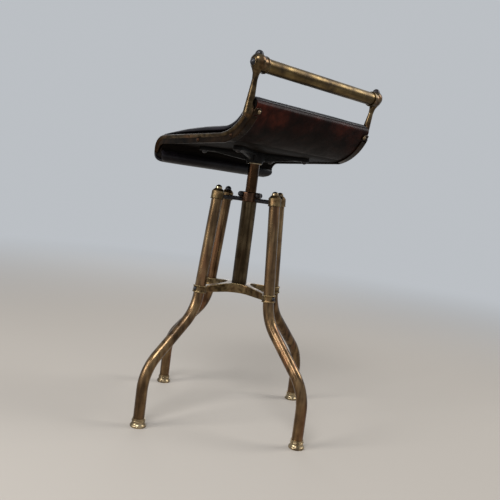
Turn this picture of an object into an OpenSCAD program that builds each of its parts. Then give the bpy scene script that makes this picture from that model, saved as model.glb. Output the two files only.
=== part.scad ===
// Cello stool: four bent brass legs, a centre tube between two spiders, a rising post clamped by
// four screws, and a leather seat with a waterfall front, brass side brackets and a back rail.
// Millimetres, Z up. The floor is z = 0, the post stands on the Z axis, the seat faces -Y.

/* [Legs] */
// Distance from the post's axis to the middle of each foot
foot_r = 212; // [195:1:230]
// Outer diameter of the leg tube
leg_d = 21.4; // [19:0.2:22]
// Wall of the leg tube
leg_wall = 1.6; // [1.2:0.2:2.4]
// Upright length of tube above the floor, up to the lower bend
foot_straight = 70; // [60:1:85]
// Radius of the lower bend, to the middle of the tube
low_bend_r = 90; // [75:1:100]
// Radius of the upper bend, to the middle of the tube
high_bend_r = 95; // [75:1:105]
// Slant of the tube between the two bends, from upright
splay = 45; // [41:1:49]
// Distance from the post's axis to the leg at the top of the upper bend
waist_r = 97.6; // [92:0.2:105]
// Lean of the upper length towards the post, from upright
lean = 5.2; // [4:0.1:6]
// Height of the top end of the leg tubes
leg_top = 454; // [440:1:470]
// Angle, seen from above, by which each leg's plane is turned about its own foot
leg_turn = 3.5; // [0:0.5:5]

/* [Feet] */
// Diameter of the rim that stands on the floor
foot_rim_d = 30.5; // [29:0.5:33]
// Height of the polished rim
foot_rim_h = 5.5; // [4:0.5:7]
// Height of the whole foot
foot_h = 17; // [15:0.5:22]
// Diameter of the foot's neck, round the leg
foot_neck_d = 24; // [23:0.25:25]
// Thickness of the foot under the leg tube
foot_floor = 3; // [2:0.5:4]

/* [Lower spider] */
// Height of the arms' collars
collar_h = 14.5; // [12:0.5:18]
// Outer diameter of the collars round the legs
collar_d = 25.4; // [24.6:0.2:27]
// Distance up the leg from the top of the bend to the middle of the collar
collar_up = 8; // [7:0.5:12]
// Depth of the arms next to their collars
arm_end_h = 12; // [9:0.5:13]
// Width of the arms next to their collars
arm_end_w = 12; // [10:0.5:15]
// Depth of the middle of the spider
hub_h = 19; // [17:0.5:22]
// Height that the middle stands above the level of the collars
hub_rise = 4.5; // [2:0.5:6]
// Distance from the axis to the hollow side between two arms
hub_waist = 24; // [20:0.5:30]

/* [Centre tube and clamp] */
// Outer diameter of the centre tube
tube_d = 30.2; // [28.6:0.2:31.4]
// Wall of the centre tube
tube_wall = 1.6; // [1.4:0.1:2]
// Height of the clamp head's top above the ends of the leg tubes
head_up = 8; // [4:1:16]
// Height of the clamp head
head_h = 20; // [18:0.5:24]
// Diameter of the clamp head
head_d = 44; // [40:0.5:47]
// Diameter of the four stay rods between the clamp head and the leg caps
stay_d = 8; // [6:0.5:9]
// Diameter of the clamp screws' heads
clamp_head_d = 11; // [9:0.5:12]
// Diameter of the clamp screws' threads
clamp_thread_d = 6; // [5:0.5:7]

/* [Leg caps] */
// Diameter of a cap's band
cap_d = 25; // [24:0.5:27]
// Height of a cap's band
cap_band_h = 15.5; // [13:0.5:18]
// Height of the sloped shoulder above the band
cap_shoulder_h = 5.5; // [4:0.5:7]
// Diameter at the top of the shoulder
cap_neck_d = 16; // [14.5:0.5:18]
// Diameter of the dome nut on the cap
dome_d = 13; // [11:0.5:14]
// Height of the dome nut
dome_h = 8; // [7:0.5:10]

/* [Post] */
// Diameter of the rising post
post_d = 22.8; // [21:0.2:23.4]
// Height of the shoulder that carries the seat above the clamp head, as photographed
post_up = 57; // [54:1:62]
// Length of the bush round the post's lower end, which slides in the tube
bush_len = 61.7; // [50:0.1:70]
// How far the seat can be raised from the photographed height
rise_max = 60; // [40:1:65]
// Diameter of the pivot on top of the post
pivot_d = 12; // [10:0.5:13]

/* [Seat] */
// Height of the seat shell's top face above the post's shoulder, on the post's axis
seat_up = 36.6; // [35:0.2:41]
// Slope of the seat down towards the front
seat_slope = 3; // [2:0.5:4]
// Half of the shell's width
shell_half_w = 157; // [150:1:175]
// Thickness of the moulded shell
shell_t = 14; // [12:0.5:16]
// Length of the flat ahead of the post's axis
flat_front = 94.6; // [88:0.5:105]
// Length of the flat behind the post's axis
flat_back = 70; // [64:1:78]
// Radius of the waterfall front, on the shell's top face
front_r = 26; // [24:0.5:30]
// Straight drop of the shell below the waterfall front
front_drop = 11; // [8:0.5:14]
// Radius of the bend up to the back, on the shell's top face
back_r = 76; // [70:1:84]
// Slope of the back, from level
back_slope = 62; // [58:1:65]
// Straight length of the back above the bend
back_top = 17; // [14:0.5:24]
// Radius of the lower corners of the front
front_corner_r = 10; // [8:1:16]
// Thickness of the leather facing on the rear of the back
facing_t = 2; // [1.5:0.1:2.5]
// Angle round the back bend at which the facing begins
facing_from = 22; // [18:1:30]

/* [Seat pad] */
// Thickness of the pad at its fullest, over the flat
pad_t = 16.5; // [13:0.5:18]
// Extra rise of the pad's crown along the middle
pad_crown = 3; // [2:0.5:5]
// Distance over which the pad's side edge rounds down
pad_edge = 12; // [9:1:18]
// Distance by which the pad's sides draw in at their fullest
pad_draw = 1; // [0.5:0.5:3]

/* [Side brackets] */
// Depth of the bracket under the shell's top face, along the flat
bracket_h = 17; // [16.5:0.5:20]
// Thickness of the bracket's web
web_t = 5; // [4:0.5:6]
// Radius of the round bead along the bracket's top edge
bead_r = 3.8; // [3.4:0.1:4.2]
// Width of the flange that turns in from the bracket under the back bend
flange_w = 11; // [8:0.5:14]
// Diameter of the balls that hold the back rail
ball_d = 28.4; // [27:0.2:30]
// Distance of the ball's middle, and the upright's top, outside the bead
ball_out = 3.7; // [2:0.1:5]
// Distance of the back rail behind the post's axis
rail_y = 153.4; // [150:0.2:157]
// Height of the back rail above the seat shell's top face
rail_up = 121.4; // [114:0.2:134]
// Diameter of the back rail
rail_d = 25; // [22:0.5:25.5]
// Wall of the back rail's tube
rail_wall = 1.6; // [1.2:0.2:2.4]
// Least diameter of the bracket's upright
upright_d = 9.8; // [9:0.2:12]
// Distance of the upright's foot behind the post's axis
upright_foot_y = 138.4; // [136:0.2:142]
// Diameter of the upright at its foot
upright_foot_d = 18; // [16:0.5:20]

/* [Seat spider] */
// Diameter of the boss that turns on the post's pivot
boss_d = 42; // [38:1:46]
// Reach of the arms' bolts to each side
bolt_x = 93; // [85:1:105]
// Reach of the arms' bolts to front and back
bolt_y = 50; // [42:1:60]
// Width of the seat spider's arms
seat_arm_w = 20; // [16:0.5:24]
// Thickness of the seat spider's arms
seat_arm_t = 7; // [6:0.5:9]
// Depth of the stiffening rib under each arm, at the boss
seat_rib_h = 9; // [6:0.5:11]
// Diameter of the heads of the seat spider's bolts
bolt_head_d = 12; // [10:0.5:14]

/* [Hidden] */
$fn = 64;
// Facets round the bracket's bead
bead_facets = 36;
// Overrun of cuts past the faces that they open
over = 1;
// Radial clearance between pieces that stay still on each other
fit = 0.05;
// Radial clearance of the post, its bush and its pivot, which slide and turn
running = 0.05;
// Clearance between faces that pass each other, and round soft pieces
gap = 0.3;
// Overlap of the lengths that make one piece
lap = 0.5;
// The same for the flat shapes of the seat's side view, which run into each other
touch = 0.02;
// How much fuller, on the radius, a bent length is than the straight lengths that run into it
bend_swell = 0.05;
// Turns of the four legs about the post
left_turn = 0;
back_turn = 90;
right_turn = 180;
front_turn = 270;
leg_turns = [left_turn, back_turn, right_turn, front_turn];
head_top = leg_top + head_up;
post_shoulder = head_top + post_up;
seat_z = post_shoulder + seat_up;
rail_z = seat_z + rail_up;

// Leg line: radii and heights along one leg, in its own upright plane
low_bend_in = low_bend_r * (1 - cos(splay));
high_bend_in = high_bend_r * (cos(lean) - cos(splay));
slant_len = (foot_r - waist_r - low_bend_in - high_bend_in) / sin(splay);
slant_foot_r = foot_r - low_bend_in;
slant_foot_z = foot_straight + low_bend_r * sin(splay);
slant_top_r = slant_foot_r - slant_len * sin(splay);
slant_top_z = slant_foot_z + slant_len * cos(splay);
waist_z = slant_top_z + high_bend_r * (sin(splay) - sin(lean));
upper_len = (leg_top - waist_z) / cos(lean);
function leg_r_at(z) = waist_r - (z - waist_z) * tan(lean);
// Place of a leg's upper length seen from above, once its plane is turned about the foot
function leg_plan(r) = [foot_r - (foot_r - r) * cos(leg_turn), -(foot_r - r) * sin(leg_turn)];
function plan_angle(r) = atan2(leg_plan(r)[1], leg_plan(r)[0]);

// Foot: the cove above the rim, and the bead round the neck
foot_cove_r = 6;
foot_cove_h = 4.6;
foot_cove_out = foot_cove_r - sqrt(foot_cove_r * foot_cove_r - foot_cove_h * foot_cove_h);
foot_bead_d = 2;
foot_bead_z = foot_rim_h + foot_cove_h + foot_bead_d;

// Lower spider: levels, and the circles that hollow its sides
collar_z = waist_z + collar_up;
collar_ang = plan_angle(leg_r_at(collar_z));
collar_reach = norm(leg_plan(leg_r_at(collar_z)));
collar_bead_d = 2.4;
hub_top = collar_z + hub_rise + hub_h / 2;
hub_bottom = hub_top - hub_h;
hub_floor = 3;
arm_half = arm_end_w / 2;
web_end = (hub_waist - arm_half) / (sqrt(2) - 1);
hollow_r = web_end - arm_half;
collar_screw_d = 8;
collar_screw_h = 3.5;
collar_thread_d = 4;
spot_t = 0.5;

// Clamp head: the tube seats in its lower part, the post slides through its upper part
head_floor = head_top - head_h;
head_cap_t = 10;
head_round = 2.5;
tube_top = head_top - head_cap_t;
tube_foot = hub_bottom + hub_floor;
tube_bore_d = tube_d - 2 * tube_wall;
stay_up = 4.5;
stay_z = head_floor + stay_up;
stay_wall_left = 1;
stay_in = (head_d - tube_d) / 2 - stay_wall_left;
stay_reach = norm(leg_plan(leg_r_at(stay_z)));
stay_ang = plan_angle(leg_r_at(stay_z));
cap_wall_left = 0.6;
clamp_down = 5.6;
clamp_z = head_top - clamp_down;
clamp_neck = 1.5;
clamp_head_h = 7;

// Leg caps, measured along the leg from its top end
cap_over = 1.5;
cap_bead_d = 1.6;
dome_base_h = 3;
stud_d = 5;
stud_in = 4;

// Post: its bush meets the clamp head at the top of the travel
bush_top = tube_top - rise_max - gap;
post_foot = bush_top - bush_len;
washer_t = 1.6;
washer_d = 30;
boss_bottom = post_shoulder + washer_t + gap;
boss_floor = 10;
nut_t = 5;
nut_corner_d = 20;
nut_room = 2;
nut_z = boss_bottom + boss_floor + gap;
pivot_over = 1;

// Seat line: the shell's top face in side view, as [y, z], from the waterfall front to the back
slope_n = [-sin(seat_slope), cos(seat_slope)];
back_n = [-sin(back_slope), cos(back_slope)];
back_dir = [cos(back_slope), sin(back_slope)];
function flat_at(y) = [y, seat_z + y * tan(seat_slope)];
front_c = flat_at(-flat_front) - front_r * slope_n;
back_c = flat_at(flat_back) + back_r * slope_n;
function back_arc(a, r) = back_c + r * [sin(a), -cos(a)];
back_foot = back_arc(back_slope, back_r);
back_end = back_foot + back_top * back_dir;
front_edge = [front_c[0] - front_r + shell_t / 2, front_c[1] - front_drop];
back_edge = back_end - shell_t / 2 * back_n;
rear_off = shell_t + facing_t;
facing_side = 1;
// Angle round the top edge at which the facing ends, against the pad
facing_end = 52;

// Seat spider, in a frame whose top face lies on the shell's underside
under_z = seat_z - shell_t / cos(seat_slope);
bolt_reach = norm([bolt_x, bolt_y]);
bolt_ang = atan2(bolt_y, bolt_x);
boss_step_d = 34;
boss_step_h = 5;
rib_w = 7;
rib_share = 0.8;
bolt_d = 6;
bolt_head_h = 5;
bolt_in = 9;

// Side brackets
bead_off_share = 0.8;
bead_off = bead_off_share * bead_r;
// The web's top edge ends inside the bead, just under its middle
web_off_share = 0.25;
web_off = bead_off + web_off_share * bead_r;
bead_x = shell_half_w + bead_r + gap;
curl_r = 18;
curl_drop = 7;
flange_t = 2;
flange_turn = 4;
corner_h = rear_off + gap + flange_t;
ball_x = bead_x + ball_out;
ball_r = ball_d / 2;
ball_up = 3;
ball_z = rail_z + ball_up;
upright_drop = 4;
upright_foot_z = back_foot[1] - upright_drop;
upright_run = [ball_x - bead_x, rail_y - upright_foot_y, ball_z - upright_foot_z];
upright_len = norm(upright_run);
// Upright's outline below the ball: [share of the way from least radius to ball radius, share of ball radius down]
flare_shares = [[0, 2.05], [0.13, 1.4], [0.45, 0.95], [0.8, 0.6]];
waist_share = 0.36;
rear_edge_y = 150;
rear_turn = 3;
sleeve_d = 27.6;
sleeve_len = 16;
sleeve_ring_d = 30;
sleeve_ring_h = 3.4;
socket_in = 11;
lug_t = 2;
lug_w = 15;
lug_len = 12;
lug_screw_d = 7;
lug_screw_h = 2.6;
screw_d = 4;
web_screw_d = 7.5;
web_screw_h = 3;
web_screw_in = 16;
web_screw_y = 12;
web_screw_ang = 25;
web_screw_off = 11;
rail_boss_d = 14;
rail_boss_h = 12.8;
rail_screw_d = 12.5;
rail_screw_h = 4.2;
rail_thread_d = 5;
ball_nut_d = 15;
ball_nut_h = 7.2;
ball_stud_d = 5;
ball_stud_in = 8;
plug_len = 15;

// Seat pad: [place along the seat line, share of pad_t], where whole places are the joints of the line's
// stretches: inside the front, round its lower edge, up to the front arc, flat, back bend, back, top edge
pad_thick_shares = [[0, 0.12], [1, 0.3], [1.5, 0.45], [1.75, 0.75], [2, 0.98], [2.15, 0.9], [2.35, 0.6],
                    [2.65, 0.34], [3, 0.36], [3.15, 0.58], [3.4, 0.85], [3.7, 0.97], [5.4, 1], [6, 0.88],
                    [6.35, 0.6], [6.7, 0.35], [7, 0.14]];
pad_crown_shares = [[2, 0], [3, 0.3], [3.3, 0.8], [3.6, 1], [4, 0.9], [5, 0.3], [6, 0]];
// Places across the pad, as shares of the edge's rounding and then of the half width
pad_round_shares = [0, 0.1, 0.35, 0.65, 1];
pad_side_share = 0.55;
pad_span_shares = [0.55, 0.2];
pad_lift = 8;
pad_steps = 8;
pad_wrap_steps = 6;
pad_top_turn = 90;
pad_half_w = shell_half_w - gap;

brass = "#8a6a3a";
pale_brass = "#a58752";
dark_brass = "#5f4526";
steel = "#2b2724";
oxblood = "#4a2320";
black_leather = "#1d1719";
dark_ply = "#2e2620";

// What is drawn in a leg's own upright plane, X outwards, goes to its place
module leg_plane(turn) {
    rotate([0, 0, turn])
        translate([foot_r, 0, 0])
            rotate([0, 0, leg_turn])
                translate([-foot_r, 0, 0])
                    children();
}

// Children stand on the leg's straight upper length at height z, with their Z along the tube
module on_upper(z) {
    translate([leg_r_at(z), 0, z])
        rotate([0, -lean, 0])
            children();
}

module pipe(d, wall, len) {
    difference() {
        cylinder(d = d, h = len);
        translate([0, 0, -over])
            cylinder(d = d - 2 * wall, h = len + 2 * over);
    }
}

module pipe_bend(d, wall, r, a) {
    rotate_extrude(angle = a)
        translate([r, 0])
            difference() {
                circle(d / 2 + bend_swell);
                circle(d / 2 - wall - bend_swell);
            }
}

// One bent leg tube, from inside its foot to its top end
module leg(turn) {
    color(brass)
        leg_plane(turn) {
            translate([foot_r, 0, foot_floor + fit])
                pipe(leg_d, leg_wall, foot_straight - foot_floor - fit + lap);
            translate([foot_r - low_bend_r, 0, foot_straight])
                rotate([90, 0, 0])
                    pipe_bend(leg_d, leg_wall, low_bend_r, splay);
            translate([slant_foot_r, 0, slant_foot_z])
                rotate([0, -splay, 0])
                    translate([0, 0, -lap])
                        pipe(leg_d, leg_wall, slant_len + 2 * lap);
            translate([slant_top_r + high_bend_r * cos(splay), 0, slant_top_z + high_bend_r * sin(splay)])
                rotate([90, 0, 0])
                    rotate([0, 0, 180 + lean])
                        pipe_bend(leg_d, leg_wall, high_bend_r, splay - lean);
            translate([waist_r, 0, waist_z])
                rotate([0, -lean, 0])
                    translate([0, 0, -lap])
                        pipe(leg_d, leg_wall, upper_len + lap);
        }
}

// Turned brass foot: a polished round rim, a cove and a neck with one bead
module foot(turn) {
    rim_r = foot_rim_d / 2;
    neck_r = foot_neck_d / 2;
    cove_r = neck_r + foot_cove_out;
    color(pale_brass)
        leg_plane(turn)
            translate([foot_r, 0, 0])
                rotate_extrude()
                    difference() {
                        union() {
                            square([rim_r - foot_rim_h / 2, foot_rim_h]);
                            translate([rim_r - foot_rim_h / 2, foot_rim_h / 2])
                                circle(d = foot_rim_h);
                            difference() {
                                square([cove_r, foot_rim_h + foot_cove_h]);
                                translate([neck_r + foot_cove_r, foot_rim_h + foot_cove_h])
                                    circle(foot_cove_r);
                            }
                            square([neck_r, foot_h]);
                            translate([neck_r, foot_bead_z])
                                circle(d = foot_bead_d);
                        }
                        translate([0, foot_floor])
                            square([leg_d / 2 + fit, foot_h]);
                    }
}

// The lower spider seen from above: hollow-sided webs that run out into straight arms
module spider_plan() {
    rotate(collar_ang) {
        difference() {
            square(2 * web_end, center = true);
            for (x = [-web_end, web_end])
                for (y = [-web_end, web_end])
                    translate([x, y])
                        circle(hollow_r);
        }
        square([2 * collar_reach, arm_end_w], center = true);
        square([arm_end_w, 2 * collar_reach], center = true);
    }
}

// Depth of the lower spider: full at the hub, falling and thinning towards the collars
module spider_depth() {
    rotate_extrude()
        polygon([[0, hub_bottom], [hub_waist, hub_bottom], [collar_reach, collar_z - arm_end_h / 2],
                 [collar_reach, collar_z + arm_end_h / 2], [hub_waist, hub_top], [0, hub_top]]);
}

module collar_screw_seat() {
    translate([collar_d / 2 - spot_t, 0, 0])
        rotate([0, 90, 0])
            children();
}

// Cast lower spider: four hollow-sided arms, a collar round each leg and a blind socket for the tube
module lower_spider() {
    color(brass)
        difference() {
            union() {
                intersection() {
                    translate([0, 0, hub_bottom - over])
                        linear_extrude(hub_h + 2 * over)
                            spider_plan();
                    spider_depth();
                }
                for (turn = leg_turns)
                    leg_plane(turn)
                        on_upper(collar_z) {
                            cylinder(d = collar_d, h = collar_h, center = true);
                            for (end = [-1, 1])
                                translate([0, 0, end * (collar_h - collar_bead_d) / 2])
                                    rotate_extrude()
                                        translate([collar_d / 2, 0])
                                            circle(d = collar_bead_d);
                        }
            }
            for (turn = leg_turns)
                leg_plane(turn)
                    on_upper(collar_z) {
                        cylinder(d = leg_d + 2 * fit, h = 2 * collar_h, center = true);
                        collar_screw_seat() {
                            cylinder(d = collar_screw_d + 2 * fit, h = collar_screw_h);
                            translate([0, 0, -collar_d / 4])
                                cylinder(d = collar_thread_d + 2 * fit, h = collar_d / 2);
                        }
                    }
            translate([0, 0, tube_foot])
                cylinder(d = tube_d + 2 * fit, h = hub_h);
        }
}

module dome(d, h) {
    ball = (d * d / 4 + h * h) / (2 * h);
    intersection() {
        cylinder(d = d, h = h);
        translate([0, 0, h - ball])
            sphere(ball);
    }
}

// Four screws that pinch the legs in the lower spider's collars
module collar_screws() {
    tip = (collar_d - leg_d) / 2 - spot_t - 2 * fit;
    color(steel)
        for (turn = leg_turns)
            leg_plane(turn)
                on_upper(collar_z)
                    collar_screw_seat() {
                        dome(collar_screw_d, collar_screw_h);
                        translate([0, 0, -tip])
                            cylinder(d = collar_thread_d, h = tip);
                    }
}

module centre_tube() {
    color(dark_brass)
        translate([0, 0, tube_foot])
            pipe(tube_d, tube_wall, tube_top - tube_foot);
}

// Children at each of the four stay rods, with Z outwards along the rod and X down
module on_stays(z) {
    for (turn = leg_turns)
        rotate([0, 0, turn + stay_ang])
            translate([0, 0, z])
                rotate([0, 90, 0])
                    children();
}

// Drum on the centre tube's top, bored for the post, with four clamp screws and four stay rods
module clamp_head() {
    color(dark_brass)
        difference() {
            translate([0, 0, head_floor])
                rotate_extrude() {
                    square([head_d / 2 - head_round, head_h]);
                    translate([0, head_round])
                        square([head_d / 2, head_h - 2 * head_round]);
                    for (z = [head_round, head_h - head_round])
                        translate([head_d / 2 - head_round, z])
                            circle(head_round);
                }
            translate([0, 0, head_floor - over])
                cylinder(d = tube_d + 2 * fit, h = head_h - head_cap_t + over);
            translate([0, 0, head_floor])
                cylinder(d = post_d + 2 * running, h = head_h + over);
            on_stays(stay_z)
                translate([0, 0, head_d / 2 - stay_in])
                    cylinder(d = stay_d + 2 * fit, h = head_d);
            on_stays(clamp_z)
                cylinder(d = clamp_thread_d + 2 * fit, h = head_d);
        }
}

// Four screws whose tips bear on the post and hold its height
module clamp_screws() {
    thread = (head_d - post_d) / 2 - gap;
    color(steel)
        on_stays(clamp_z)
            translate([0, 0, head_d / 2 + clamp_neck]) {
                dome(clamp_head_d, clamp_head_h);
                translate([0, 0, -thread - clamp_neck])
                    cylinder(d = clamp_thread_d, h = thread + clamp_neck);
            }
}

module stay_rods() {
    from = head_d / 2 - stay_in + fit;
    to = stay_reach - leg_d / 2 - cap_wall_left;
    color(steel)
        on_stays(stay_z)
            translate([0, 0, from])
                cylinder(d = stay_d, h = to - from);
}

// Brass cap over a leg's top: a band, a sloped shoulder and a bead between them
module cap(turn) {
    skirt = cap_band_h - cap_over;
    color(brass)
        difference() {
            leg_plane(turn)
                on_upper(leg_top)
                    difference() {
                        union() {
                            translate([0, 0, -skirt])
                                cylinder(d = cap_d, h = cap_band_h);
                            translate([0, 0, cap_over])
                                cylinder(d1 = cap_d, d2 = cap_neck_d, h = cap_shoulder_h);
                            translate([0, 0, -skirt + cap_bead_d / 2])
                                rotate_extrude()
                                    translate([cap_d / 2, 0])
                                        circle(d = cap_bead_d);
                        }
                        translate([0, 0, -skirt - over])
                            cylinder(d = leg_d + 2 * fit, h = skirt + over + fit);
                        translate([0, 0, cap_over + cap_shoulder_h - stud_in])
                            cylinder(d = stud_d + 2 * fit, h = stud_in + over);
                    }
            rotate([0, 0, turn + stay_ang])
                translate([stay_reach / 2, 0, stay_z])
                    rotate([0, 90, 0])
                        cylinder(d = stay_d + 2 * fit, h = stay_reach / 2 - leg_d / 2 - cap_wall_left + fit);
        }
}

// Dark dome nuts that close the caps, each with its stud
module dome_nuts() {
    color(steel)
        for (turn = leg_turns)
            leg_plane(turn)
                on_upper(leg_top)
                    translate([0, 0, cap_over + cap_shoulder_h]) {
                        cylinder(d = dome_d, h = dome_base_h);
                        translate([0, 0, dome_base_h])
                            dome(dome_d, dome_h - dome_base_h);
                        translate([0, 0, -stud_in + gap])
                            cylinder(d = stud_d, h = stud_in);
                    }
}

// Rising post: a plain bar with a shoulder and a pivot that the seat turns on
module post() {
    color(dark_brass) {
        translate([0, 0, post_foot])
            cylinder(d = post_d, h = post_shoulder - post_foot);
        translate([0, 0, post_shoulder])
            cylinder(d = pivot_d, h = nut_z + nut_t + pivot_over - post_shoulder);
    }
}

// Bush on the post's lower end: it guides the post in the tube and stops it at full height
module post_bush() {
    color(pale_brass)
        translate([0, 0, post_foot])
            difference() {
                cylinder(d = tube_bore_d - 2 * running, h = bush_len);
                translate([0, 0, -over])
                    cylinder(d = post_d + 2 * fit, h = bush_len + 2 * over);
            }
}

module thrust_washer() {
    color(pale_brass)
        translate([0, 0, post_shoulder])
            difference() {
                cylinder(d = washer_d, h = washer_t);
                translate([0, 0, -over])
                    cylinder(d = pivot_d + 2 * fit, h = washer_t + 2 * over);
            }
}

// Hexagon nut on the pivot, inside the boss: it keeps the seat on the post
module pivot_nut() {
    color(steel)
        translate([0, 0, nut_z])
            difference() {
                cylinder(d = nut_corner_d, h = nut_t, $fn = 6);
                translate([0, 0, -over])
                    cylinder(d = pivot_d + 2 * fit, h = nut_t + 2 * over);
            }
}

// Children in a frame whose floor is the sloping underside of the shell
module under_shell() {
    translate([0, 0, under_z])
        rotate([seat_slope, 0, 0])
            children();
}

module at_bolts() {
    under_shell()
        for (x = [-bolt_x, bolt_x])
            for (y = [-bolt_y, bolt_y])
                translate([x, y, 0])
                    children();
}

// Cast iron spider under the seat: a turning boss and four ribbed arms bolted up to the shell
module seat_spider() {
    color(steel)
        difference() {
            union() {
                under_shell()
                    for (a = [bolt_ang, 180 - bolt_ang, 180 + bolt_ang, -bolt_ang])
                        rotate([0, 0, a]) {
                            translate([0, -seat_arm_w / 2, -seat_arm_t])
                                cube([bolt_reach, seat_arm_w, seat_arm_t]);
                            translate([bolt_reach, 0, -seat_arm_t])
                                cylinder(d = seat_arm_w, h = seat_arm_t);
                            rotate([90, 0, 0])
                                linear_extrude(rib_w, center = true)
                                    polygon([[0, -seat_arm_t / 2], [0, -seat_arm_t - seat_rib_h],
                                             [boss_d / 2, -seat_arm_t - seat_rib_h],
                                             [rib_share * bolt_reach, -seat_arm_t],
                                             [rib_share * bolt_reach, -seat_arm_t / 2]]);
                        }
                translate([0, 0, boss_bottom])
                    cylinder(d = boss_step_d, h = boss_step_h);
                translate([0, 0, boss_bottom + boss_step_h])
                    cylinder(d = boss_d, h = under_z - boss_bottom);
            }
            under_shell()
                translate([-foot_r, -foot_r, 0])
                    cube([2 * foot_r, 2 * foot_r, foot_r]);
            translate([0, 0, boss_bottom - over])
                cylinder(d = pivot_d + 2 * running, h = foot_r);
            translate([0, 0, boss_bottom + boss_floor])
                cylinder(d = nut_corner_d + 2 * nut_room, h = foot_r);
            at_bolts()
                cylinder(d = bolt_d + 2 * fit, h = foot_r, center = true);
        }
}

module spider_bolts() {
    color(steel)
        at_bolts() {
            translate([0, 0, -seat_arm_t])
                mirror([0, 0, 1])
                    dome(bolt_head_d, bolt_head_h);
            translate([0, 0, -seat_arm_t])
                cylinder(d = bolt_d, h = seat_arm_t + bolt_in - gap);
        }
}

// Side view shapes are drawn as [y, z] and extruded across the seat
module across(w) {
    rotate([90, 0, 90])
        linear_extrude(w, center = true)
            children();
}

// Part of a ring between two radii and two angles
module ring_part(c, r_in, r_out, from, to) {
    reach = 2 * r_out;
    intersection() {
        translate(c)
            difference() {
                circle(r_out);
                circle(r_in);
            }
        polygon([c, for (a = [from, (from + to) / 2, to]) c + reach * [cos(a), sin(a)]]);
    }
}

// Stretches of the seat line, between two depths under the shell's top face
module flat_part(a, b) {
    front = flat_at(-flat_front - touch);
    rear = flat_at(flat_back + touch);
    polygon([front - b * slope_n, rear - b * slope_n, rear - a * slope_n, front - a * slope_n]);
}

module back_bend(a, b, from) {
    ring_part(back_c, back_r + a, back_r + b, from - 90, back_slope - 90);
}

module back_part(a, b) {
    low = back_foot - touch * back_dir;
    polygon([low - b * back_n, back_end - b * back_n, back_end - a * back_n, low - a * back_n]);
}

module front_bend(a, b) {
    ring_part(front_c, front_r - b, front_r - a, 90 + seat_slope, 180);
}

module front_part(a, b) {
    translate([front_c[0] - front_r + a, front_edge[1]])
        square([b - a, front_drop + touch]);
}

module shell_profile() {
    flat_part(0, shell_t);
    back_bend(0, shell_t, seat_slope);
    back_part(0, shell_t);
    front_bend(0, shell_t);
    front_part(0, shell_t);
    for (p = [front_edge, back_edge])
        translate(p)
            circle(d = shell_t);
}

// Children on the back's rear, a distance up its straight part, with Z pointing out of the rear
module on_rear(up, off) {
    p = back_foot + up * back_dir - off * back_n;
    translate([0, p[0], p[1]])
        rotate([back_slope - 180, 0, 0])
            children();
}

module at_lug_screws(off) {
    for (x = [-1, 1])
        on_rear(back_top / 2, off)
            translate([x * (shell_half_w - lug_w + lug_len / 2), 0, 0])
                children();
}

// Children at the screws through the brackets' webs, with Z outwards from each side
module at_web_screws() {
    for (p = [flat_at(web_screw_y) - web_screw_off * slope_n, back_arc(web_screw_ang, back_r + web_screw_off)])
        for (side = [0, 1])
            mirror([side, 0, 0])
                translate([shell_half_w, p[0], p[1]])
                    rotate([0, 90, 0])
                        children();
}

// What is cut from the front's two lower corners to round them
module front_corners() {
    low = front_edge[1] - shell_t / 2;
    for (side = [0, 1])
        mirror([side, 0, 0])
            translate([shell_half_w - front_corner_r, front_edge[0], low + front_corner_r])
                rotate([90, 0, 0])
                    difference() {
                        translate([0, -front_corner_r - over, 0])
                            linear_extrude(2 * shell_t, center = true)
                                square([front_corner_r + over, front_corner_r + over]);
                        cylinder(r = front_corner_r, h = 3 * shell_t, center = true);
                    }
}

// Moulded shell, one curve from the waterfall front to the top of the back
module seat_shell() {
    color(dark_ply)
        difference() {
            across(2 * shell_half_w)
                shell_profile();
            front_corners();
            at_bolts()
                cylinder(d = bolt_d + 2 * fit, h = 2 * bolt_in, center = true);
            at_web_screws()
                cylinder(d = screw_d + 2 * fit, h = 2 * web_screw_in, center = true);
            at_lug_screws(rear_off)
                cylinder(d = screw_d + 2 * fit, h = 2 * (facing_t + bolt_in), center = true);
        }
}

// Leather facing on the rear of the back
module back_facing() {
    color(oxblood)
        difference() {
            across(2 * (shell_half_w - facing_side)) {
                back_bend(shell_t, rear_off, facing_from);
                back_part(shell_t, rear_off);
                ring_part(back_edge, shell_t / 2 + touch, shell_t / 2 + facing_t,
                          back_slope - 90 - rear_turn, facing_end);
            }
            at_lug_screws(rear_off)
                cylinder(d = screw_d + 2 * fit, h = 4 * facing_t, center = true);
        }
}

// Stations along the pad: [point on the seat line, outward direction, place along the line]
function station(p, a, u) = [p, [cos(a), sin(a)], u];
function spaced(n, k) = k / n;
pad_stations = concat(
    [station(front_edge + [shell_t / 2, pad_lift], 0, 0)],
    [for (k = [0 : pad_wrap_steps])
        let (a = -180 * spaced(pad_wrap_steps, k))
            station(front_edge + shell_t / 2 * [cos(a), sin(a)], a, 1 + spaced(pad_wrap_steps, k))],
    [for (k = [0 : pad_steps])
        let (a = 180 - (90 - seat_slope) * spaced(pad_steps, k))
            station(front_c + front_r * [cos(a), sin(a)], a, 2 + spaced(pad_steps, k))],
    [for (k = [1 : pad_steps])
        let (y = -flat_front + (flat_front + flat_back) * spaced(pad_steps, k))
            station(flat_at(y), 90 + seat_slope, 3 + spaced(pad_steps, k))],
    [for (k = [1 : pad_steps])
        let (a = seat_slope + (back_slope - seat_slope) * spaced(pad_steps, k))
            station(back_arc(a, back_r), 90 + a, 4 + spaced(pad_steps, k))],
    [for (k = [0 : pad_wrap_steps])
        let (a = 90 + back_slope - pad_top_turn * spaced(pad_wrap_steps, k))
            station(back_edge + shell_t / 2 * [cos(a), sin(a)], a, 6 + spaced(pad_wrap_steps, k))]
);

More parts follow.
